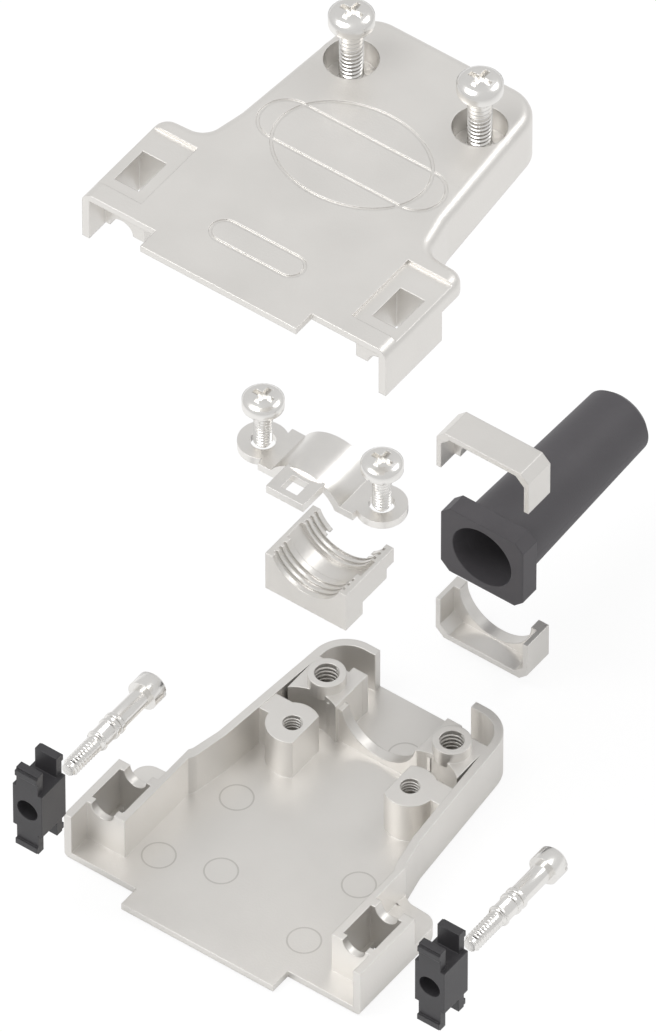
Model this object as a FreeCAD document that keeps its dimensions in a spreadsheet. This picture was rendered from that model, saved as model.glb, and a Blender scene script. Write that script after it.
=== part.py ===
import FreeCAD, Part
import math
import os
import Sketcher

V = FreeCAD.Vector

# Driving sizes in millimetres, closed hood, X across, Y from the connector to the cable, Z up
SIZES = {
    "ear_half_width": 27.7,
    "ear_wall_back": 14.0,
    "ear_depth": 20.2,
    "ear_corner": 2.6,
    "ear_root": 20.4,
    "root_radius": 3.0,
    "head_bay_height": 3.2,
    "body_half_width": 18.9,
    "body_start": 27.5,
    "tail_half_width": 16.6,
    "hood_length": 55.4,
    "tail_radius": 6.0,
    "shoulder_radius": 6.0,
    "half_height": 9.2,
    "floor_thick": 1.2,
    "wall": 1.3,
    "lower_edge_round": 0.8,
    "top_edge_round": 1.8,
    "lip_half_width": 14.2,
    "lip_length": 3.8,
    "jack_spacing": 47.04,
    "pocket_half_width": 2.9,
    "pocket_front": 5.4,
    "pocket_length": 7.0,
    "pocket_wall": 1.3,
    "window_half_width": 2.2,
    "notch_radius": 2.1,
    "plateau_drop": 0.6,
    "plateau_start": 19.2,
    "pillar_spacing": 22.06,
    "pillar_place": 35.65,
    "pillar_radius": 4.2,
    "pillar_flat": 8.6,
    "pillar_height": 9.0,
    "pillar_web": 3.4,
    "pillar_slot": 7.2,
    "boss_spacing": 23.46,
    "boss_place": 45.4,
    "boss_radius": 4.2,
    "boss_back": 3.6,
    "collar_radius": 3.0,
    "collar_height": 11.2,
    "seat_gap": 0.05,
    "counterbore_radius": 4.2,
    "counterbore_floor": 14.0,
    "post_wall": 1.0,
    "seat_rib_place": 42.6,
    "seat_rib_thick": 1.8,
    "seat_rib_radius": 6.9,
    "gland_half_width": 8.6,
    "gland_front": 50.2,
    "gland_depth": 5.6,
    "gland_corner": 1.5,
    "gland_slip": 0.4,
    "slip": 0.1,
    "flange_half_width": 7.7,
    "flange_half_height": 6.9,
    "flange_thick": 3.5,
    "flange_corner": 1.6,
    "boot_radius": 6.6,
    "boot_tip_radius": 5.8,
    "boot_length": 36.0,
    "boot_mouth_radius": 5.5,
    "cable_bore_radius": 4.6,
    "cable_bore_length": 20.0,
    "strap_thick": 1.4,
    "strap_depth": 8.8,
    "strap_ear_radius": 3.95,
    "strap_hole_radius": 2.0,
    "arch_half_width": 6.4,
    "arch_rise": 3.6,
    "tab_half_width": 3.45,
    "tab_length": 5.2,
    "tab_hole": 3.0,
    "saddle_half_width": 7.5,
    "saddle_front": 29.4,
    "saddle_length": 12.2,
    "saddle_top": 8.9,
    "cradle_radius": 6.6,
    "cradle_rise": 2.4,
    "saddle_foot": 4.3,
    "saddle_step": 2.6,
    "strap_screw_radius": 1.5,
    "strap_screw_length": 8.4,
    "strap_head_radius": 3.25,
    "strap_head_height": 2.2,
    "cover_screw_radius": 1.9,
    "cover_screw_length": 12.0,
    "cover_head_radius": 3.5,
    "cover_head_height": 2.6,
    "thread_fit": 0.04,
    "recess_width": 0.9,
    "recess_depth": 1.1,
    "jack_radius": 1.6,
    "jack_thread_radius": 1.42,
    "jack_thread_length": 7.0,
    "jack_front": 4.6,
    "jack_head_radius": 2.55,
    "jack_head_length": 3.2,
    "jack_head_gap": 0.25,
    "clip_half_width": 2.7,
    "clip_depth": 6.0,
    "clip_reach": 8.5,
    "clip_core": 4.4,
    "clip_leg": 1.3,
    "clip_hook": 0.4,
    "clip_bore_radius": 1.9,
}

# How far each piece stands from its closed place, as it lies taken apart
COVER_OFF = V(4.5, 0, 129.7)
COVER_SCREW_OFF = V(0, 0, 12.0)
STRAP_OFF = V(-5.4, 0, 57.9)
STRAP_SCREW_OFF = V(0, 0, 7.5)
SADDLE_OFF = V(-4.0, 0, 43.0)
GLAND_OFF = V(0, 19.0, 0)
BOOT_OFF = V(0, 0, 14.5)
UPPER_GLAND_OFF = V(0, 0, 29.5)
JACK_OFF = V(0, 0, 16.5)
RIGHT_JACK_OFF = V(22.7, 6.9, 0)
CLIP_OFF = V(0, -20.6, 0)

doc = FreeCAD.newDocument("dsub_hood")
sheet = doc.addObject("Spreadsheet::Sheet", "Sizes")
for row, (name, value) in enumerate(SIZES.items(), start=1):
    sheet.set("A%d" % row, name)
    sheet.set("B%d" % row, str(value))
    sheet.setAlias("B%d" % row, name)
doc.recompute()


def size(name):
    return float(sheet.get(name))


# Values that follow from the sizes above
JACK_X = size("jack_spacing") / 2
PART_LINE = size("half_height")
TOP = 2 * size("half_height")
POCKET_BACK = size("pocket_front") + size("pocket_length")
EAR_WALL_FRONT = size("pocket_front") - size("pocket_wall")
CEILING = TOP - size("floor_thick")
PILLAR_X = size("pillar_spacing") / 2
BOSS_X = size("boss_spacing") / 2
STRAP_TOP = size("pillar_height") + size("strap_thick")


def new_body(label):
    body = doc.addObject("PartDesign::Body", label)
    body.Label = label
    return body


def origin_plane(body, role):
    return [item for item in body.Origin.OriginFeatures if item.Role == role][0]


def new_sketch(body, name, role="XY_Plane", level=0.0):
    sketch = body.newObject("Sketcher::SketchObject", name)
    sketch.AttachmentSupport = [(origin_plane(body, role), "")]
    sketch.MapMode = "FlatFace"
    sketch.AttachmentOffset = FreeCAD.Placement(V(0, 0, level), FreeCAD.Rotation())
    return sketch


def add_polygon(sketch, points):
    corners = [V(x, y, 0) for x, y in points]
    for start, end in zip(corners, corners[1:] + corners[:1]):
        sketch.addGeometry(Part.LineSegment(start, end), False)


def add_box(sketch, x_low, x_high, y_low, y_high):
    add_polygon(sketch, [(x_low, y_low), (x_high, y_low), (x_high, y_high), (x_low, y_high)])


def add_circle(sketch, x, y, radius):
    sketch.addGeometry(Part.Circle(V(x, y, 0), V(0, 0, 1), radius), False)


def add_wire(sketch, wire):
    for edge in wire.Edges:
        first, last = edge.ParameterRange
        start, middle, end = (edge.valueAt(value) for value in (first, (first + last) / 2, last))
        if isinstance(edge.Curve, Part.Circle):
            sketch.addGeometry(arc_through(start, middle, end), False)
        else:
            sketch.addGeometry(Part.LineSegment(start, end), False)


def add_edges(sketch, edges):
    for edge in edges:
        sketch.addGeometry(edge, False)


# Arc that runs anticlockwise in its sketch, whichever way its three points are given
def arc_through(start, middle, end):
    centre = Part.Circle(start, middle, end).Center
    turn = (middle - start).cross(end - middle).z
    first, last = (start, end) if turn > 0 else (end, start)
    circle = Part.Circle(centre, V(0, 0, 1), (start - centre).Length)
    return Part.ArcOfCircle(circle, angle_round(centre, first), angle_round(centre, last))


def angle_round(centre, point):
    return math.atan2(point.y - centre.y, point.x - centre.x)


def pad(body, sketch, name, length, reverse=False):
    feature = body.newObject("PartDesign::Pad", name)
    feature.Profile = sketch
    if isinstance(length, str):
        feature.setExpression("Length", length)
    else:
        feature.Length = length
    feature.Reversed = reverse
    sketch.Visibility = False
    doc.recompute()
    return feature


def pocket(body, sketch, name, length, reverse=False):
    feature = body.newObject("PartDesign::Pocket", name)
    feature.Profile = sketch
    if isinstance(length, str):
        feature.setExpression("Length", length)
    else:
        feature.Length = length
    feature.Reversed = reverse
    sketch.Visibility = False
    before = body.Shape.Volume
    doc.recompute()
    if body.Shape.Volume > before - 0.001:
        raise RuntimeError("%s cuts nothing" % name)
    return feature


def block(body, name, x_range, y_range, z_range):
    sketch = new_sketch(body, name + "_sketch", level=z_range[0])
    add_box(sketch, x_range[0], x_range[1], y_range[0], y_range[1])
    return pad(body, sketch, name, z_range[1] - z_range[0])


def cut_block(body, name, x_range, y_range, z_range):
    sketch = new_sketch(body, name + "_sketch", level=z_range[0])
    add_box(sketch, x_range[0], x_range[1], y_range[0], y_range[1])
    return pocket(body, sketch, name, z_range[1] - z_range[0], reverse=True)


def round_post(body, name, x, y, radius, z_range):
    sketch = new_sketch(body, name + "_sketch", level=z_range[0])
    add_circle(sketch, x, y, radius)
    return pad(body, sketch, name, z_range[1] - z_range[0])


def round_hole(body, name, x, y, radius, z_range):
    sketch = new_sketch(body, name + "_sketch", level=z_range[0])
    add_circle(sketch, x, y, radius)
    return pocket(body, sketch, name, z_range[1] - z_range[0], reverse=True)


def cut_along_depth(body, name, x, z, radius, y_range):
    sketch = new_sketch(body, name + "_sketch", "XZ_Plane", -y_range[0])
    add_circle(sketch, x, z, radius)
    return pocket(body, sketch, name, y_range[1] - y_range[0])


def mirrored(x_range, side):
    return sorted((side * x_range[0], side * x_range[1]))


# Plan of the hood, grown or shrunk by an inset, with rounded shoulders and tail
def hood_plan(inset, front):
    ear = size("ear_half_width") - inset
    ear_back = size("ear_depth") - inset
    body_side = size("body_half_width") - inset
    tail = size("tail_half_width") - inset
    end = size("hood_length") - inset
    root = size("ear_root") - inset
    half = [(ear, front), (ear, ear_back), (root, ear_back + 0.4), (body_side, size("body_start")), (tail, end)]
    shoulder = size("shoulder_radius")
    corner = size("tail_radius") - inset
    right = [V(x, y, 0) for x, y in half]
    left = [V(-x, y, 0) for x, y in reversed(half)]
    half_rounding = [0, size("ear_corner") - inset / 2, size("root_radius"), shoulder, corner]
    rounding = half_rounding + half_rounding[::-1]
    return rounded_wire(right + left, rounding)


# Closed wire through the corners, each rounded by its own radius
def rounded_wire(corners, radii):
    starts, ends, arcs = [], [], []
    count = len(corners)
    for index, corner in enumerate(corners):
        before = (corners[index - 1] - corner).normalize()
        after = (corners[(index + 1) % count] - corner).normalize()
        radius = radii[index]
        if radius == 0:
            starts.append(corner)
            ends.append(corner)
            arcs.append(None)
            continue
        half_angle = before.getAngle(after) / 2
        reach = radius / math.tan(half_angle)
        centre_way = (before + after).normalize()
        centre = corner + centre_way * (radius / math.sin(half_angle))
        starts.append(corner + before * reach)
        ends.append(corner + after * reach)
        arcs.append(Part.Arc(starts[-1], centre - centre_way * radius, ends[-1]))
    edges = []
    for index in range(count):
        if arcs[index]:
            edges.append(arcs[index].toShape())
        edges.append(Part.makeLine(ends[index], starts[(index + 1) % count]))
    return Part.Wire(edges)


# Both shells share one plan, walls, ears and cable opening. The upper one is built upside up.
def build_shell(label, low, high, floor_z, inner, edge_round):
    shell = new_body(label)
    outline = new_sketch(shell, label + "_plan", level=low)
    add_wire(outline, hood_plan(0, 0))
    solid = pad(shell, outline, label + "_block", "Sizes.half_height")
    rims = []
    for index, edge in enumerate(shell.Shape.Edges, start=1):
        level_edge = all(abs(v.Z - floor_z) < 1e-6 for v in edge.Vertexes)
        front_edge = all(abs(v.Y) < 1e-6 for v in edge.Vertexes)
        if level_edge and not front_edge:
            rims.append("Edge%d" % index)
    rounding = shell.newObject("PartDesign::Fillet", label + "_rounding")
    rounding.Base = (solid, rims)
    rounding.setExpression("Radius", "Sizes." + edge_round)
    doc.recompute()
    cavity = new_sketch(shell, label + "_cavity_plan", level=inner[0])
    add_wire(cavity, hood_plan(size("wall"), -1))
    pocket(shell, cavity, label + "_cavity", inner[1] - inner[0], reverse=True)
    plate = sorted((floor_z, inner[0] if floor_z == low else inner[1]))
    lip = size("lip_half_width")
    block(shell, label + "_lip", (-lip, lip), (-size("lip_length"), 0.6), plate)
    for side in (-1, 1):
        build_ear(shell, label, side, inner, plate)
    opening = size("gland_half_width") + size("gland_slip")
    wall_back = size("hood_length")
    cut_block(shell, label + "_cable_exit", (-opening, opening), (wall_back - 2, wall_back + 1), inner)
    for side in (-1, 1):
        stop = mirrored((opening - 1.5, opening + 1.2), side)
        name = "%s_gland_stop_%s" % (label, "left" if side < 0 else "right")
        back = size("gland_front") - size("seat_gap")
        block(shell, name, stop, (back - size("wall"), back), inner)
    return shell


def build_ear(shell, label, side, inner, plate):
    name = "%s_ear_%s" % (label, "left" if side < 0 else "right")
    inside = JACK_X - size("pocket_half_width")
    outside = JACK_X + size("pocket_half_width")
    reach = (inside - size("pocket_wall"), outside + 0.4)
    across = mirrored(reach, side)
    block(shell, name + "_walls", across, (EAR_WALL_FRONT, size("ear_wall_back")), inner)
    root_x = mirrored((reach[0], size("ear_root")), side)
    block(shell, name + "_root", root_x, (size("ear_wall_back") - 0.5, size("ear_depth") + 0.4), inner)
    bay_back = size("ear_depth") - size("wall") + 0.3
    height = size("head_bay_height")
    solid_z = (inner[0], height) if plate[0] < PART_LINE else (TOP - height, inner[1])
    open_z = (height, PART_LINE + 1) if plate[0] < PART_LINE else (PART_LINE - 1, TOP - height)
    bay_x = mirrored((size("ear_root"), outside + 0.4), side)
    block(shell, name + "_bay_floor", bay_x, (size("ear_wall_back") - 0.5, bay_back), solid_z)
    bay_cut = mirrored((size("ear_root"), size("ear_half_width") + 1), side)
    cut_block(shell, name + "_head_bay", bay_cut, (size("ear_wall_back"), size("ear_depth") + 2.5), open_z)
    pocket_x = mirrored((inside, outside), side)
    cut_block(shell, name + "_pocket", pocket_x, (size("pocket_front"), POCKET_BACK), inner)
    window = size("window_half_width")
    window_x = mirrored((JACK_X - window, JACK_X + window), side)
    cut_block(shell, name + "_window", window_x, (size("pocket_front"), POCKET_BACK), plate)
    cut_along_depth(shell, name + "_notch", side * JACK_X, PART_LINE, size("notch_radius"),
                    (EAR_WALL_FRONT - 0.5, size("ear_wall_back") + 0.5))


def build_lower_shell():
    label = "lower_shell"
    inner = (size("floor_thick"), size("half_height"))
    shell = build_shell(label, 0, PART_LINE, 0, inner, "lower_edge_round")
    floor = size("floor_thick")
    for side in (-1, 1):
        where = "left" if side < 0 else "right"
        wall_x = size("body_half_width") - size("wall") - 0.3
        radius = size("pillar_radius")
        centre_y = size("pillar_place")
        flat = side * size("pillar_flat")
        rise = math.sqrt(radius ** 2 - (PILLAR_X - size("pillar_flat")) ** 2)
        front = V(flat, centre_y - rise, 0)
        back = V(flat, centre_y + rise, 0)
        outer = V(side * (PILLAR_X + radius), centre_y, 0)
        sketch = new_sketch(shell, "pillar_plan_" + where, level=floor)
        add_edges(sketch, [Part.LineSegment(back, front), arc_through(front, outer, back)])
        pad(shell, sketch, "pillar_" + where, size("pillar_height") - floor)
        block(shell, "pillar_web_" + where, mirrored((PILLAR_X, wall_x), side),
              (centre_y - 0.5, centre_y + size("pillar_web")), (floor, size("pillar_height")))
        tap = size("strap_screw_radius") + size("thread_fit")
        bottom = STRAP_TOP - size("strap_screw_length") - 0.4
        round_hole(shell, "pillar_tap_" + where, side * PILLAR_X, centre_y, tap, (bottom, TOP))
        boss = size("boss_radius")
        # The boss is one block with the wall, hollowed round the back of the pillar
        web_x = side * (size("tail_half_width") - size("wall") + 0.6)
        inside_x = side * (BOSS_X - boss)
        slot = size("pillar_slot")
        near = V(inside_x, centre_y + math.sqrt(slot ** 2 - (PILLAR_X - BOSS_X + boss) ** 2), 0)
        far = V(web_x, centre_y + math.sqrt(slot ** 2 - (abs(web_x) - PILLAR_X) ** 2), 0)
        deepest = V(side * PILLAR_X, centre_y + slot, 0)
        block_back = size("boss_place") + size("boss_back")
        web_back = V(web_x, block_back, 0)
        inside_back = V(inside_x, block_back, 0)
        sketch = new_sketch(shell, "boss_block_plan_" + where, level=inner[0])
        add_edges(sketch, [Part.LineSegment(far, web_back), Part.LineSegment(web_back, inside_back),
                           Part.LineSegment(inside_back, near), arc_through(near, deepest, far)])
        pad(shell, sketch, "boss_block_" + where, inner[1] - inner[0])
        round_post(shell, "collar_" + where, side * BOSS_X, size("boss_place"), size("collar_radius"),
                   (PART_LINE - 1, size("collar_height")))
        tap = size("cover_screw_radius") + size("thread_fit")
        bottom = size("counterbore_floor") - size("cover_screw_length") - 0.3
        round_hole(shell, "boss_tap_" + where, side * BOSS_X, size("boss_place"), tap, (bottom, TOP))
    rib = (size("seat_rib_place"), size("seat_rib_place") + size("seat_rib_thick"))
    half = BOSS_X - 2
    block(shell, "cable_rib", (-half, half), rib, (floor - 0.1, PART_LINE - 1))
    cut_along_depth(shell, "cable_rib_cradle", 0, PART_LINE, size("seat_rib_radius"), (rib[0] - 0.5, rib[1] + 0.5))
    return shell


def build_upper_shell():
    label = "upper_shell"
    inner = (PART_LINE, CEILING)
    shell = build_shell(label, PART_LINE, TOP, TOP, inner, "top_edge_round")
    for side in (-1, 1):
        where = "left" if side < 0 else "right"
        post = size("counterbore_radius") + size("post_wall")
        low = size("collar_height") + size("seat_gap")
        round_post(shell, "cover_post_" + where, side * BOSS_X, size("boss_place"), post, (low, TOP - 0.5))
        round_hole(shell, "counterbore_" + where, side * BOSS_X, size("boss_place"), size("counterbore_radius"),
                   (size("counterbore_floor"), TOP + 1))
        clear = size("cover_screw_radius") + 0.3
        round_hole(shell, "cover_hole_" + where, side * BOSS_X, size("boss_place"), clear, (low - 1, TOP))
        ear = mirrored((size("plateau_start"), size("ear_half_width") + 1), side)
        cut_block(shell, "ear_plateau_" + where, ear, (3.2, size("ear_depth") - 3.0),
                  (TOP - size("plateau_drop"), TOP + 1))
    for name, centre, half_length, radius in (("long_panel", (0, 29.5), 12.0, 4.5), ("small_panel", (0, 6.0), 6.0, 2.4)):
        add_panel_line(shell, name, centre, half_length, radius)
    add_oval_line(shell, "oval_panel", (0, 29.5), 13.2, 10.0)
    return shell


# A shallow line round a blank panel on the cover
def add_panel_line(shell, name, centre, half_length, radius):
    sketch = new_sketch(shell, name + "_sketch", level=TOP - 0.2)
    for reach in (radius, radius - 0.5):
        x, y = centre
        upper = [V(x + half_length, y + reach, 0), V(x - half_length, y + reach, 0)]
        lower = [V(x - half_length, y - reach, 0), V(x + half_length, y - reach, 0)]
        sketch.addGeometry(Part.LineSegment(upper[0], upper[1]), False)
        sketch.addGeometry(Part.LineSegment(lower[0], lower[1]), False)
        round_left = Part.Circle(V(x - half_length, y, 0), V(0, 0, 1), reach)
        round_right = Part.Circle(V(x + half_length, y, 0), V(0, 0, 1), reach)
        sketch.addGeometry(Part.ArcOfCircle(round_left, math.pi / 2, 3 * math.pi / 2), False)
        sketch.addGeometry(Part.ArcOfCircle(round_right, -math.pi / 2, math.pi / 2), False)
    pocket(shell, sketch, name, 0.5, reverse=True)


def add_oval_line(shell, name, centre, half_width, half_depth):
    sketch = new_sketch(shell, name + "_sketch", level=TOP - 0.2)
    middle = V(centre[0], centre[1], 0)
    for inset in (0, 0.5):
        wide = V(half_width - inset, 0, 0)
        deep = V(0, half_depth - inset, 0)
        sketch.addGeometry(Part.Ellipse(middle + wide, middle + deep, middle), False)
    pocket(shell, sketch, name, 0.5, reverse=True)


# Turned pieces share one profile of radius and height pairs round a vertical or a level axis
def turned(label, role, profile):
    body = new_body(label)
    sketch = new_sketch(body, label + "_profile", role)
    add_polygon(sketch, profile)
    turn = body.newObject("PartDesign::Revolution", label + "_turned")
    turn.Profile = sketch
    turn.ReferenceAxis = (sketch, ["V_Axis"])
    turn.Angle = 360
    sketch.Visibility = False
    doc.recompute()
    return body


def build_screw(label, radius, length, head_radius, head_height):
    crown = 0.35 * head_height
    profile = [(0, -length), (radius * 0.6, -length), (radius, -length + 0.6 * radius), (radius, 0),
               (head_radius, 0), (head_radius, head_height - crown), (head_radius - 0.9 * crown, head_height - 0.25),
               (head_radius * 0.5, head_height), (0, head_height)]
    body = turned(label, "XZ_Plane", profile)
    arm = head_radius * 0.55
    half = size("recess_width") / 2
    low = head_height - size("recess_depth")
    sketch = new_sketch(body, label + "_cross", level=low)
    cross = [(half, half), (half, arm), (-half, arm), (-half, half), (-arm, half), (-arm, -half),
             (-half, -half), (-half, -arm), (half, -arm), (half, -half), (arm, -half), (arm, half)]
    add_polygon(sketch, cross)
    pocket(body, sketch, label + "_recess", head_height, reverse=True)
    return body


def build_strap():
    body = new_body("cable_strap")
    thick = size("strap_thick")
    half = size("arch_half_width")
    rise = size("arch_rise")
    outer = V(0, rise + thick, 0)
    side_sketch = new_sketch(body, "arch_profile", "XZ_Plane", size("strap_depth") / 2)
    foot = PILLAR_X
    inner_crown = V(0, rise, 0)
    side_sketch.addGeometry(arc_through(V(-half, thick, 0), outer, V(half, thick, 0)), False)
    ends = [(half, thick), (foot, thick), (foot, 0), (half - thick * 0.7, 0)]
    for start, end in zip(ends, ends[1:]):
        side_sketch.addGeometry(Part.LineSegment(V(*start, 0), V(*end, 0)), False)
    low = half - thick * 0.7
    side_sketch.addGeometry(arc_through(V(-low, 0, 0), inner_crown, V(low, 0, 0)), False)
    ends = [(-low, 0), (-foot, 0), (-foot, thick), (-half, thick)]
    for start, end in zip(ends, ends[1:]):
        side_sketch.addGeometry(Part.LineSegment(V(*start, 0), V(*end, 0)), False)
    pad(body, side_sketch, "arch", "Sizes.strap_depth", reverse=True)
    for side in (-1, 1):
        where = "left" if side < 0 else "right"
        trim = mirrored((PILLAR_X - 2.2, PILLAR_X + 1), side)
        for end in (-1, 1):
            strip = sorted((end * size("strap_ear_radius") * 0.8, end * size("strap_depth")))
            cut_block(body, "ear_trim_%s_%s" % (where, "front" if end < 0 else "back"), trim, strip, (-1, thick + 1))
        round_post(body, "ear_" + where, side * PILLAR_X, 0, size("strap_ear_radius"), (0, thick))
        round_hole(body, "ear_hole_" + where, side * PILLAR_X, 0, size("strap_hole_radius"), (-1, thick + 1))
    front = -size("strap_depth") / 2
    tab = size("tab_half_width")
    crown = rise + thick
    drop = half - math.sqrt(half ** 2 - tab ** 2)
    block(body, "tab", (-tab, tab), (front - size("tab_length"), front + 0.4), (crown - drop - 1.1, crown - drop * 0.6))
    hole = size("tab_hole") / 2
    middle = front - size("tab_length") / 2
    cut_block(body, "tab_hole", (-hole, hole), (middle - hole, middle + hole), (0, crown + 1))
    return body


def build_saddle():
    body = new_body("cable_saddle")
    half = size("saddle_half_width")
    front = size("saddle_front")
    back = front + size("saddle_length")
    low = size("floor_thick") + size("seat_gap")
    top = size("saddle_top")
    block(body, "saddle_block", (-half, half), (front, back), (low, top))
    step = front + size("saddle_foot")
    cut_block(body, "underside_step", (-half - 1, half + 1), (step, back + 1), (low - 1, low + size("saddle_step")))
    cut_block(body, "back_notch", (-half - 1, half + 1), (back - 1.8, back + 1), (low, top - 3.0))
    axis = top + size("cradle_rise")
    cut_along_depth(body, "cradle", 0, axis, size("cradle_radius"), (front - 1, back + 1))
    middle = front + size("saddle_foot") + 0.4
    cut_along_depth(body, "middle_trough", 0, axis, size("cradle_radius") + 0.7, (middle, middle + 3.6))
    for count in range(3):
        groove = front + 0.9 + count * 1.1
        cut_along_depth(body, "front_groove_%d" % (count + 1), 0, axis, size("cradle_radius") + 0.4, (groove, groove + 0.5))
        groove = back - 1.3 - count * 1.1
        cut_along_depth(body, "back_groove_%d" % (count + 1), 0, axis, size("cradle_radius") + 0.4, (groove, groove + 0.5))
    return body


def build_gland_half(label, way):
    body = new_body(label)
    half = size("gland_half_width")
    reach = PART_LINE - size("floor_thick") - size("seat_gap")
    cut = size("gland_corner")
    gap = way * size("seat_gap") / 2
    outline = [(-half, gap), (half, gap), (half, way * (reach - cut)), (half - cut, way * reach),
               (-half + cut, way * reach), (-half, way * (reach - cut))]
    front = size("gland_front")
    sketch = new_sketch(body, label + "_outline", "XZ_Plane", -front)
    add_polygon(sketch, [(x, PART_LINE + z) for x, z in outline])
    pad(body, sketch, label + "_frame", "Sizes.gland_depth", reverse=True)
    seat_x = size("flange_half_width") + size("slip") / 2
    seat_z = size("flange_half_height") + size("slip") / 2
    corner = size("flange_corner")
    sketch = new_sketch(body, label + "_seat_outline", "XZ_Plane", -front)
    seat = [(-seat_x, 0), (seat_x, 0), (seat_x, way * (seat_z - corner)), (seat_x - corner, way * seat_z),
            (-seat_x + corner, way * seat_z), (-seat_x, way * (seat_z - corner))]
    add_polygon(sketch, [(x, PART_LINE + z) for x, z in seat])
    pocket(body, sketch, label + "_flange_seat", size("flange_thick") + size("slip"))
    cut_along_depth(body, label + "_tube_cut", 0, PART_LINE, size("boot_radius") + size("slip"),
                    (front - 1, front + size("gland_depth") + 1))
    return body


def build_boot():
    body = new_body("cable_boot")
    half = size("flange_half_width")
    reach = size("flange_half_height")
    cut = size("flange_corner")
    outline = [(-half + cut, -reach), (half - cut, -reach), (half, -reach + cut), (half, reach - cut),
               (half - cut, reach), (-half + cut, reach), (-half, reach - cut), (-half, -reach + cut)]
    sketch = new_sketch(body, "flange_outline", "XZ_Plane")
    add_polygon(sketch, outline)
    pad(body, sketch, "flange", "Sizes.flange_thick", reverse=True)
    length = size("boot_length")
    tip = size("boot_tip_radius")
    sketch = new_sketch(body, "tube_profile", "XY_Plane")
    start = size("flange_thick") - 0.5
    profile = [(0, start), (size("boot_radius"), start), (size("boot_radius"), size("gland_depth") + 0.6),
               (tip, length - 0.8), (tip - 0.8, length), (0, length)]
    add_polygon(sketch, profile)
    tube = body.newObject("PartDesign::Revolution", "tube")
    tube.Profile = sketch
    tube.ReferenceAxis = (sketch, ["V_Axis"])
    tube.Angle = 360
    doc.recompute()
    sketch = new_sketch(body, "bore_profile", "XY_Plane")
    neck = length - size("cable_bore_length")
    profile = [(0, -1), (size("boot_mouth_radius"), -1), (size("boot_mouth_radius"), 3),
               (size("cable_bore_radius"), neck), (size("cable_bore_radius"), length + 1), (0, length + 1)]
    add_polygon(sketch, profile)
    bore = body.newObject("PartDesign::Groove", "bore")
    bore.Profile = sketch
    bore.ReferenceAxis = (sketch, ["V_Axis"])
    bore.Angle = 360
    doc.recompute()
    return body


def build_jackscrew(label):
    front = -size("jack_front")
    thread = size("jack_thread_radius")
    shank = size("jack_radius")
    head = size("jack_head_radius")
    thread_end = front + size("jack_thread_length")
    head_start = size("ear_wall_back") + size("jack_head_gap")
    head_end = head_start + size("jack_head_length")
    profile = [(0, front), (thread - 0.4, front), (thread, front + 0.5), (thread, thread_end - 0.4),
               (thread - 0.25, thread_end - 0.4), (thread - 0.25, thread_end), (shank, thread_end + 0.2),
               (shank, head_start), (head, head_start), (head, head_end - 0.4), (head - 0.4, head_end), (0, head_end)]
    body = turned(label, "XY_Plane", profile)
    half = 0.4
    slot = new_sketch(body, label + "_slot", "XY_Plane", -half)
    add_box(slot, -head - 1, head + 1, head_end - 1.1, head_end + 1)
    pocket(body, slot, label + "_driver_slot", 2 * half, reverse=True)
    return body


def build_clip(label):
    body = new_body(label)
    half = size("clip_half_width")
    deep = size("clip_depth") / 2
    core = size("clip_core")
    reach = size("clip_reach")
    leg = size("clip_leg")
    hook = size("clip_hook")
    narrow = size("window_half_width") - 0.2
    block(body, label + "_core", (-half, half), (-deep, deep), (-core, core))
    for way in (-1, 1):
        where = "lower" if way < 0 else "upper"
        for end in (-1, 1):
            name = "%s_%s_leg_%s" % (label, where, "front" if end < 0 else "back")
            along = sorted((end * (deep - leg), end * deep))
            tall = sorted((way * (core - 0.5), way * reach))
            block(body, name, (-narrow, narrow), along, tall)
            barb = sorted((end * (deep - 0.3), end * (deep + hook)))
            tall = sorted((way * (reach - 1.5), way * (reach - 0.4)))
            block(body, name + "_barb", (-narrow, narrow), barb, tall)
    cut_along_depth(body, label + "_bore", 0, 0, size("clip_bore_radius"), (-deep - 1, deep + 1))
    return body


pieces = {}


def place(body, closed, apart):
    body.Placement = FreeCAD.Placement(closed + apart, FreeCAD.Rotation())
    pieces[body.Label] = body


place(build_lower_shell(), V(0, 0, 0), V(0, 0, 0))
place(build_upper_shell(), V(0, 0, 0), COVER_OFF)
for side, where in ((-1, "left"), (1, "right")):
    cover_screw = build_screw("cover_screw_" + where, size("cover_screw_radius"), size("cover_screw_length"),
                              size("cover_head_radius"), size("cover_head_height"))
    place(cover_screw, V(side * BOSS_X, size("boss_place"), size("counterbore_floor")), COVER_OFF + COVER_SCREW_OFF)
    strap_screw = build_screw("strap_screw_" + where, size("strap_screw_radius"), size("strap_screw_length"),
                              size("strap_head_radius"), size("strap_head_height"))
    place(strap_screw, V(side * PILLAR_X, size("pillar_place"), STRAP_TOP), STRAP_OFF + STRAP_SCREW_OFF)
place(build_strap(), V(0, size("pillar_place"), size("pillar_height")), STRAP_OFF)
place(build_saddle(), V(0, 0, 0), SADDLE_OFF)
place(build_gland_half("gland_half_lower", -1), V(0, 0, 0), GLAND_OFF)
place(build_gland_half("gland_half_upper", 1), V(0, 0, 0), GLAND_OFF + UPPER_GLAND_OFF)
place(build_boot(), V(0, size("gland_front"), PART_LINE), GLAND_OFF + BOOT_OFF)
clip_place = size("pocket_front") + size("pocket_length") / 2
for side, where, extra in ((-1, "left", V(0, 0, 0)), (1, "right", RIGHT_JACK_OFF)):
    place(build_jackscrew("jackscrew_" + where), V(side * JACK_X, 0, PART_LINE), JACK_OFF + extra)
    place(build_clip("screw_clip_" + where), V(side * JACK_X, clip_place, PART_LINE), JACK_OFF + extra + CLIP_OFF)

doc.recompute()
for item in doc.Objects:
    if "Invalid" in item.State or "Error" in item.State:
        raise RuntimeError("%s is in state %s" % (item.Name, item.State))

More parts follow.
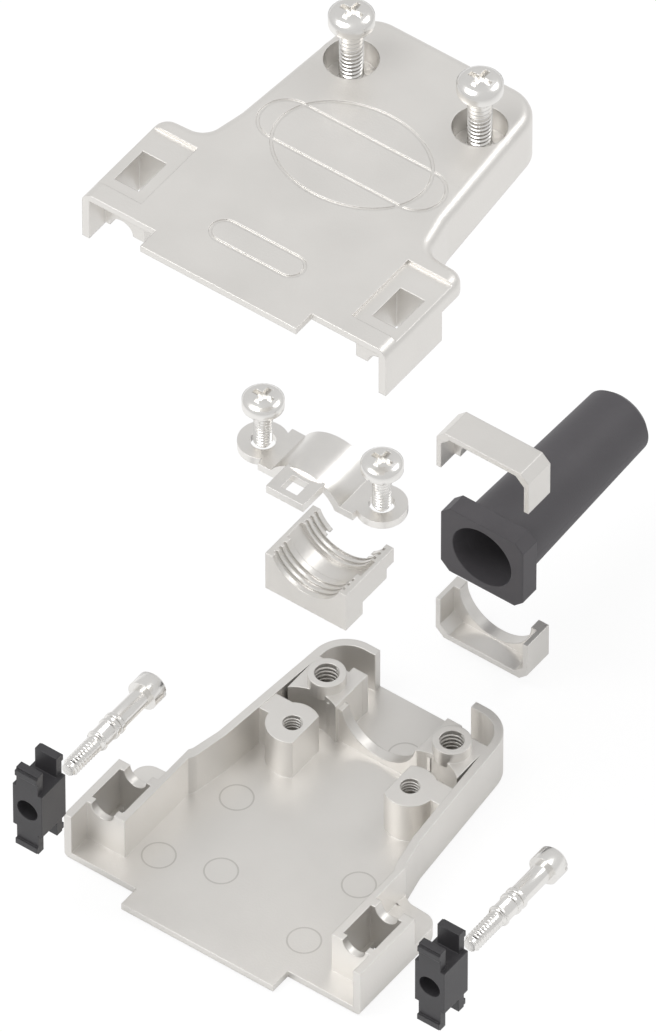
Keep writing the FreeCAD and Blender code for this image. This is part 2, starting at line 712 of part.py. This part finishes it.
os.makedirs("parts", exist_ok=True)
for label, body in pieces.items():
    shape = body.Shape
    if shape.isNull() or not shape.isValid() or len(shape.Solids) != 1:
        raise RuntimeError("%s is not one sound solid (%d)" % (label, len(shape.Solids)))
    shape.exportStep("parts/%s.step" % label)
    box = shape.BoundBox
    print(label, round(shape.Volume, 1), [round(n, 1) for n in (box.XMin, box.XMax, box.YMin, box.YMax, box.ZMin, box.ZMax)])
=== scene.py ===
import math
import bmesh
import bpy
from mathutils import Matrix, Vector


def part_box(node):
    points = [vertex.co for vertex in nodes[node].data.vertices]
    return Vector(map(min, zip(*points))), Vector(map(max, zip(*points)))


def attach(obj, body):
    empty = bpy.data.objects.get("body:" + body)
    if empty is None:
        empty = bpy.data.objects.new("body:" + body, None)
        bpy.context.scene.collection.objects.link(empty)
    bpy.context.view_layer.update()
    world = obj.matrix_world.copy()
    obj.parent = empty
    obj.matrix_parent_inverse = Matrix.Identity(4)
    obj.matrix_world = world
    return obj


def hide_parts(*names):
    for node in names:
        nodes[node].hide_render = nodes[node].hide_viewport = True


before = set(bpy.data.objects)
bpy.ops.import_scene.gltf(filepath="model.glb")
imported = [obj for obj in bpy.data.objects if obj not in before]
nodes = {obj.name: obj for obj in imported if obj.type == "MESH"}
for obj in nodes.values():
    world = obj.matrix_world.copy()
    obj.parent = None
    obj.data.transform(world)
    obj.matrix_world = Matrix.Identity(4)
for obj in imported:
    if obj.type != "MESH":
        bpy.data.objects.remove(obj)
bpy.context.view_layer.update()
scene = bpy.context.scene
mm = 0.001
print("frame loaded")


# Shader maths: a value wraps one socket and adds Math nodes when it is used in an expression
class Value:
    def __init__(self, shader, socket):
        self.shader = shader
        self.socket = socket

    def join(self, operation, other=None, swapped=False):
        pair = [self.socket] if other is None else [self.socket, getattr(other, "socket", other)]
        if swapped:
            pair.reverse()
        return self.shader.node("ShaderNodeMath", {"operation": operation}, pair)

    def __add__(self, other):
        return self.join("ADD", other)

    def __radd__(self, other):
        return self.join("ADD", other, True)

    def __sub__(self, other):
        return self.join("SUBTRACT", other)

    def __rsub__(self, other):
        return self.join("SUBTRACT", other, True)

    def __mul__(self, other):
        return self.join("MULTIPLY", other)

    def __rmul__(self, other):
        return self.join("MULTIPLY", other, True)

    def __abs__(self):
        return self.join("ABSOLUTE")

    def root(self):
        return self.join("SQRT")

    def below(self, other):
        return self.join("LESS_THAN", other)

    def largest(self, other):
        return self.join("MAXIMUM", other)


class Shader:
    def __init__(self, name):
        self.material = bpy.data.materials.new(name)
        self.material.use_nodes = True
        self.tree = self.material.node_tree
        self.surface = self.tree.nodes["Principled BSDF"]
        self.place = self.tree.nodes.new("ShaderNodeTexCoord").outputs["Object"]

    def node(self, kind, settings, inputs, output=0):
        made = self.tree.nodes.new(kind)
        for key, value in settings.items():
            setattr(made, key, value)
        items = inputs.items() if isinstance(inputs, dict) else enumerate(inputs)
        for key, value in items:
            value = getattr(value, "socket", value)
            if isinstance(value, bpy.types.NodeSocket):
                self.tree.links.new(value, made.inputs[key])
            else:
                made.inputs[key].default_value = value
        return Value(self, made.outputs[output])

    def axes(self):
        split = self.node("ShaderNodeSeparateXYZ", {}, [self.place]).socket.node
        return [Value(self, split.outputs[index]) for index in range(3)]

    def noise(self, scale, detail=3.0, roughness=0.5):
        inputs = {"Vector": self.place, "Scale": scale, "Detail": detail, "Roughness": roughness}
        return self.node("ShaderNodeTexNoise", {}, inputs, "Fac")

    def blendColours(self, factor, low, high):
        colourA, colourB, colourOut = 6, 7, 2
        low = low if isinstance(low, Value) else (*low, 1)
        inputs = {0: factor, colourA: low, colourB: (*high, 1)}
        return self.node("ShaderNodeMix", {"data_type": "RGBA"}, inputs, colourOut)

    def feed(self, name, value):
        target = self.surface.inputs[name]
        if isinstance(value, Value):
            self.tree.links.new(value.socket, target)
        else:
            target.default_value = value

    def relief(self, height, strength, distance, edgeRadius):
        rounded = self.node("ShaderNodeBevel", {"samples": 6}, {"Radius": edgeRadius})
        inputs = {"Height": height, "Strength": strength, "Distance": distance, "Normal": rounded}
        self.feed("Normal", self.node("ShaderNodeBump", {}, inputs))


# Satin plated casting: faint clouds, fine grain, and on the inner floor the ejector pins' rings
def castMetal():
    shader = Shader("castMetal")
    cloud = shader.noise(90, 4)
    grain = shader.noise(2600, 2, 0.6)
    x, y, z = shader.axes()
    ejectors = {"places": [(-13, 24), (12.5, 20.5), (-6, 10.5), (12.5, 6.5), (-15.5, 7.5), (2.5, 46)],
                "radius": 2.6, "halfWidth": 0.13, "floorTop": 1.5, "floorLow": 1.0}
    rings = None
    for placeX, placeY in ejectors["places"]:
        offX = x - placeX * mm
        offY = y - placeY * mm
        reach = (offX * offX + offY * offY).root()
        ring = abs(reach - ejectors["radius"] * mm).below(ejectors["halfWidth"] * mm)
        rings = ring if rings is None else rings.largest(ring)
    onFloor = z.below(ejectors["floorTop"] * mm) * (1 - z.below(ejectors["floorLow"] * mm))
    rings = rings * onFloor
    clouded = shader.blendColours(cloud, (0.74, 0.72, 0.69), (0.82, 0.80, 0.77))
    shader.feed("Base Color", shader.blendColours(rings * 0.55, clouded, (0.50, 0.48, 0.45)))
    shader.feed("Metallic", 0.8)
    shader.feed("Roughness", 0.33 + 0.12 * cloud)
    shader.relief(grain * 0.25 - rings, 0.5, 0.15 * mm, 0.22 * mm)
    return shader.material


# Bright plating with fine marks
def platedSteel(name, roughness, colour):
    shader = Shader(name)
    cloud = shader.noise(220, 3)
    marks = shader.noise(4200, 2, 0.7)
    darker = tuple(part * 0.9 for part in colour)
    shader.feed("Base Color", shader.blendColours(cloud, darker, colour))
    shader.feed("Metallic", 1.0)
    shader.feed("Roughness", roughness + 0.12 * cloud)
    shader.relief(marks, 0.12, 0.06 * mm, 0.1 * mm)
    return shader.material


def darkPolymer(name, low, high, roughness, grainScale, edgeRadius):
    shader = Shader(name)
    cloud = shader.noise(180, 4)
    grain = shader.noise(grainScale, 2, 0.6)
    shader.feed("Base Color", shader.blendColours(cloud, low, high))
    shader.feed("Roughness", roughness + 0.16 * cloud)
    shader.relief(grain, 0.3, 0.07 * mm, edgeRadius)
    return shader.material


casting = castMetal()
strapMetal = platedSteel("platedStrap", 0.24, (0.88, 0.86, 0.83))
screwMetal = platedSteel("platedScrew", 0.17, (0.88, 0.865, 0.84))
plastic = darkPolymer("blackPlastic", (0.022, 0.021, 0.023), (0.045, 0.043, 0.047), 0.34, 5200, 0.2 * mm)
rubber = darkPolymer("greyRubber", (0.066, 0.062, 0.068), (0.088, 0.083, 0.090), 0.48, 3400, 0.3 * mm)
finishes = {"cable_strap": strapMetal, "cable_boot": rubber, "screw_clip_left": plastic,
            "screw_clip_right": plastic, "lower_shell": casting, "upper_shell": casting,
            "cable_saddle": casting, "gland_half_lower": casting, "gland_half_upper": casting}
for name, node in nodes.items():
    finish = finishes.get(name, screwMetal)
    if node.data.materials:
        node.data.materials[0] = finish
    else:
        node.data.materials.append(finish)
print("materials done")


# A helical ridge round an axis, with its ends closed; a crest inside the root makes an inner thread
def addThread(mesh, centre, axis, root, crest, pitch, length):
    side = axis.orthogonal().normalized()
    stepsPerTurn = 22
    ridgeShare = 0.42
    turnsLeftOff = 0.9
    steps = int((length / pitch - turnsLeftOff) * stepsPerTurn)
    flank = pitch * ridgeShare
    profile = [centre + side * root, centre + side * crest + axis * flank,
               centre + side * root + axis * 2 * flank]
    verts = [mesh.verts.new(point) for point in profile]
    face = mesh.faces.new(verts)
    bmesh.ops.spin(mesh, geom=[face, *face.edges, *verts], cent=centre, axis=axis,
                   dvec=axis * (pitch / stepsPerTurn), angle=2 * math.pi * steps / stepsPerTurn,
                   steps=steps, use_duplicate=False)


# A collar round the shank with chamfered rims
def addCollar(mesh, centre, axis, radius, width):
    segments = 40
    chamferShare = 0.22
    turn = Vector((0, 0, 1)).rotation_difference(axis).to_matrix().to_4x4()
    turn.translation = centre
    made = bmesh.ops.create_cone(mesh, cap_ends=True, segments=segments, radius1=radius, radius2=radius,
                                 depth=width, matrix=turn)
    edges = {edge for vert in made["verts"] for edge in vert.link_edges}
    rims = [edge for edge in edges if any(len(face.verts) > 4 for face in edge.link_faces)]
    bmesh.ops.bevel(mesh, geom=rims, offset=width * chamferShare, affect="EDGES", segments=2,
                    profile=0.5, material=-1)


def showPiece(name, data, body):
    piece = bpy.data.objects.new(name, data)
    scene.collection.objects.link(piece)
    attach(piece, body)
    return piece


# A screw's node with its shank drawn in to the thread's root, and the thread and collars added
def dressScrew(name, centre, axis, spec):
    mergeReach = 0.001 * mm
    levelReach = 0.0001 * mm
    endMargin = 0.01 * mm
    sunkRoot = 0.08 * mm
    data = nodes[name].data.copy()
    mesh = bmesh.new()
    mesh.from_mesh(data)
    bmesh.ops.remove_doubles(mesh, verts=mesh.verts, dist=mergeReach)
    for level in (spec["start"], spec["end"]):
        bmesh.ops.bisect_plane(mesh, geom=[*mesh.verts, *mesh.edges, *mesh.faces], dist=levelReach,
                               plane_co=centre + axis * level, plane_no=axis)
    for vert in mesh.verts:
        along = (vert.co - centre).dot(axis)
        radial = vert.co - centre - axis * along
        if along < spec["end"] - endMargin and radial.length > spec["root"]:
            vert.co = centre + axis * along + radial.normalized() * spec["root"]
    addThread(mesh, centre + axis * spec["start"], axis, spec["root"] - sunkRoot, spec["crest"],
              spec["pitch"], spec["end"] - spec["start"])
    for place, radius, width in spec.get("collars", []):
        addCollar(mesh, centre + axis * place, axis, radius, width)
    bmesh.ops.recalc_face_normals(mesh, faces=mesh.faces)
    mesh.to_mesh(data)
    mesh.free()
    piece = showPiece(name + "_threaded", data, name)
    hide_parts(name)


screwSpecs = {
    "cover_screw": {"start": 0.3 * mm, "end": 10.6 * mm, "root": 1.5 * mm, "crest": 1.89 * mm,
                    "pitch": 0.8 * mm},
    "strap_screw": {"start": 0.3 * mm, "end": 7.2 * mm, "root": 1.16 * mm, "crest": 1.49 * mm,
                    "pitch": 0.6 * mm},
    "jackscrew": {"start": 0.3 * mm, "end": 6.6 * mm, "root": 1.12 * mm, "crest": 1.41 * mm,
                  "pitch": 0.635 * mm,
                  "collars": [(7.6 * mm, 1.8 * mm, 0.5 * mm), (10.6 * mm, 1.87 * mm, 0.7 * mm),
                              (12.0 * mm, 1.87 * mm, 0.9 * mm)]},
}
for side in ("left", "right"):
    for kind, spec in screwSpecs.items():
        low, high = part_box(kind + "_" + side)
        middle = (low + high) / 2
        if kind == "jackscrew":
            centre, axis = Vector((middle.x, low.y, middle.z)), Vector((0, 1, 0))
        else:
            centre, axis = Vector((middle.x, middle.y, low.z)), Vector((0, 0, 1))
        dressScrew(kind + "_" + side, centre, axis, spec)
print("screws done")


# Tapped threads just inside the four screw holes of the lower shell
taps = {"pillar": {"x": 11.03, "y": 35.65, "top": 9.0, "radius": 1.54, "pitch": 0.6},
        "boss": {"x": 11.73, "y": 45.4, "top": 11.2, "radius": 1.94, "pitch": 0.8}}
tapTurns = 5
tapSunk = 0.08
tapRidge = 0.14
tapMesh = bmesh.new()
for tap in taps.values():
    for way in (-1, 1):
        depth = tapTurns * tap["pitch"]
        centre = Vector((way * tap["x"], tap["y"], tap["top"] - depth)) * mm
        addThread(tapMesh, centre, Vector((0, 0, 1)), (tap["radius"] + tapSunk) * mm,
                  (tap["radius"] - tapRidge) * mm, tap["pitch"] * mm, depth * mm)
bmesh.ops.recalc_face_normals(tapMesh, faces=tapMesh.faces)
tapData = bpy.data.meshes.new("tappedThreads")
tapMesh.to_mesh(tapData)
tapMesh.free()
tapData.materials.append(casting)
showPiece("tappedThreads", tapData, "lower_shell")
print("taps done")


# Pale floor, lit softly and white to the camera, that keeps its shadows
floorMesh = bmesh.new()
floorHalfWidth = 6
floorDrop = 0.4 * mm
bmesh.ops.create_grid(floorMesh, x_segments=1, y_segments=1, size=floorHalfWidth,
                      matrix=Matrix.Translation((0, 0, -floorDrop)))
floorData = bpy.data.meshes.new("floor")
floorMesh.to_mesh(floorData)
floorMesh.free()
floor = bpy.data.objects.new("floor", floorData)
scene.collection.objects.link(floor)
floorShader = Shader("floorWhite")
floorShader.feed("Base Color", (0.93, 0.93, 0.93, 1))
floorShader.feed("Roughness", 0.9)
floorShader.feed("Specular IOR Level", 0.0)
onCamera = floorShader.node("ShaderNodeLightPath", {}, {}, "Is Camera Ray")
glow = floorShader.node("ShaderNodeEmission", {}, {"Strength": 1.03})
lit = floorShader.surface.outputs[0]
whiteShare = 0.85
shown = floorShader.node("ShaderNodeMixShader", {}, [onCamera * whiteShare, lit, glow])
floorShader.tree.links.new(shown.socket, floorShader.tree.nodes["Material Output"].inputs[0])
floorData.materials.append(floorShader.material)

world = bpy.data.worlds.new("studio")
scene.world = world
world.use_nodes = True
backdrop = world.node_tree.nodes["Background"]
backdrop.inputs["Color"].default_value = (1, 1, 1, 1)
backdrop.inputs["Strength"].default_value = 0.72

target = Vector((0.0, 29.66, 67.1)) * mm


def aim(azimuth, elevation):
    a, e = math.radians(azimuth), math.radians(elevation)
    return Vector((math.sin(a) * math.cos(e), -math.cos(a) * math.cos(e), math.sin(e)))


def addLight(name, azimuth, elevation, distance, size, power):
    light = bpy.data.lights.new(name, "AREA")
    light.shape = "DISK"
    light.size = size
    light.energy = power
    lamp = bpy.data.objects.new(name, light)
    scene.collection.objects.link(lamp)
    away = aim(azimuth, elevation)
    lamp.location = target + away * distance
    lamp.rotation_euler = away.to_track_quat("Z", "Y").to_euler()


addLight("keyLight", -35, 62, 0.9, 0.5, 3.0)
addLight("rimLight", 150, 50, 0.9, 0.4, 1.0)

# Camera: long lens at the photograph's angle
view = {"azimuth": 36.2, "elevation": 47.0, "distance": 4.0, "pixelsPerMetre": 6680, "frameHeight": 1032,
        "sensor": 36}
cameraData = bpy.data.cameras.new("camera")
camera = bpy.data.objects.new("camera", cameraData)
scene.collection.objects.link(camera)
back = aim(view["azimuth"], view["elevation"])
camera.location = target + back * view["distance"]
camera.rotation_euler = back.to_track_quat("Z", "Y").to_euler()
cameraData.sensor_fit = "VERTICAL"
cameraData.sensor_height = view["sensor"]
cameraData.lens = view["pixelsPerMetre"] * view["distance"] * view["sensor"] / view["frameHeight"]
cameraData.clip_end = 50
scene.camera = camera
scene.view_settings.view_transform = "Standard"
print("stage done")
